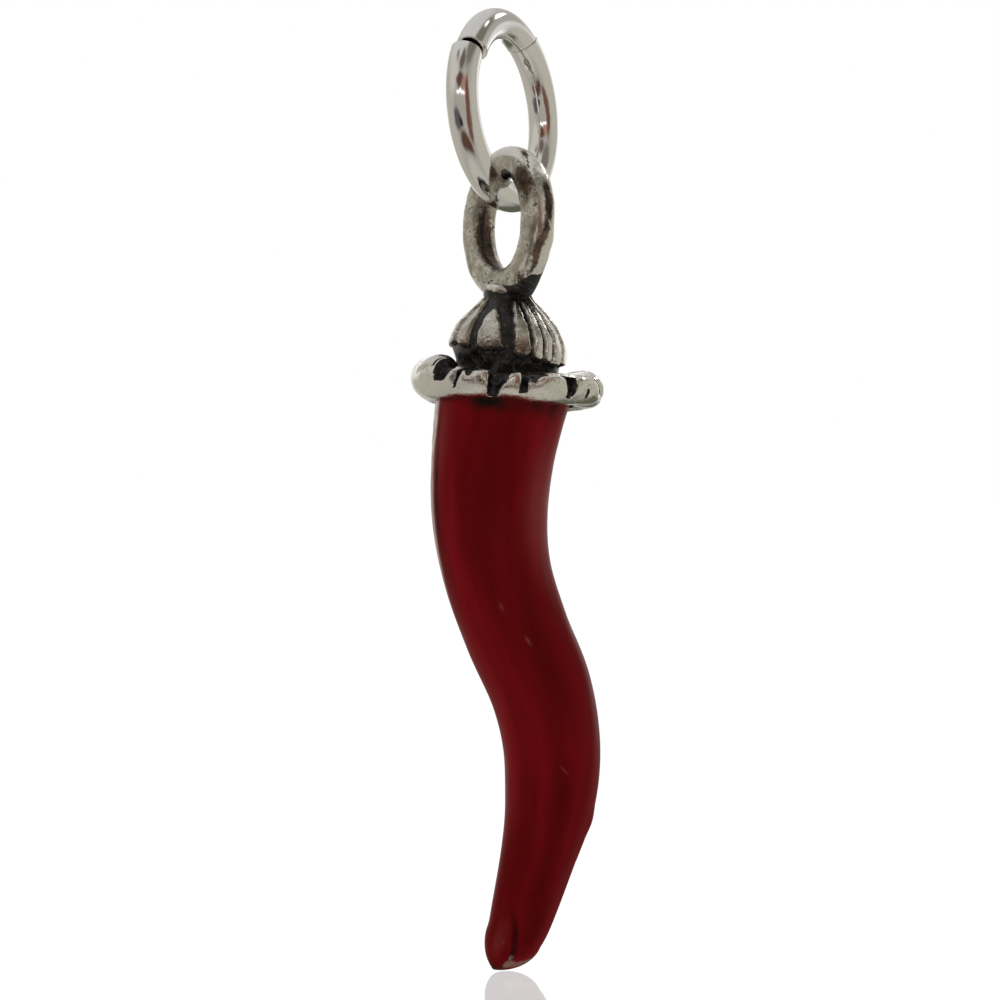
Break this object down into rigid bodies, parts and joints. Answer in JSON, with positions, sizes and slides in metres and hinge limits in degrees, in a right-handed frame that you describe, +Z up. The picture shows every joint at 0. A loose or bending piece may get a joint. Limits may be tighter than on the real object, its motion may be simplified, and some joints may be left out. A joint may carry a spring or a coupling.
{
  "type": "cornicello horn pendant",
  "caption": "Red enamelled horn pendant with an S-shaped body, fluted silver cap with a rope collar, cast eyelet and open jump ring.",
  "frame": {"origin": "inside of the jump ring's top, where a chain lies", "axes": "+Z up as it hangs; the horn curves in the XZ plane, with its belly toward +X; the eyelet lies in the YZ plane"},
  "size_m": [0.0074, 0.0073, 0.0358],
  "materials": {
    "polished_silver": "polished sterling silver wire",
    "oxidised_silver": "cast sterling silver, oxidised black in the recesses and rubbed bright on the crests",
    "cast_silver": "as-cast sterling silver under the enamel",
    "red_enamel": "glossy deep red enamel"
  },
  "bodies": {
    "ring": {"jump_ring": "polished_silver"},
    "pendant": {"cap": "oxidised_silver", "horn_core": "cast_silver", "horn_enamel": "red_enamel"}
  },
  "joints": [
    {"name": "pendant_swing", "type": "hinge", "parent": "ring", "child": "pendant", "pos_m": [0.00011, -0.00017, -0.00575], "axis": [0.848, 0.5299, 0], "range_deg": [-140, 140]}
  ]
}
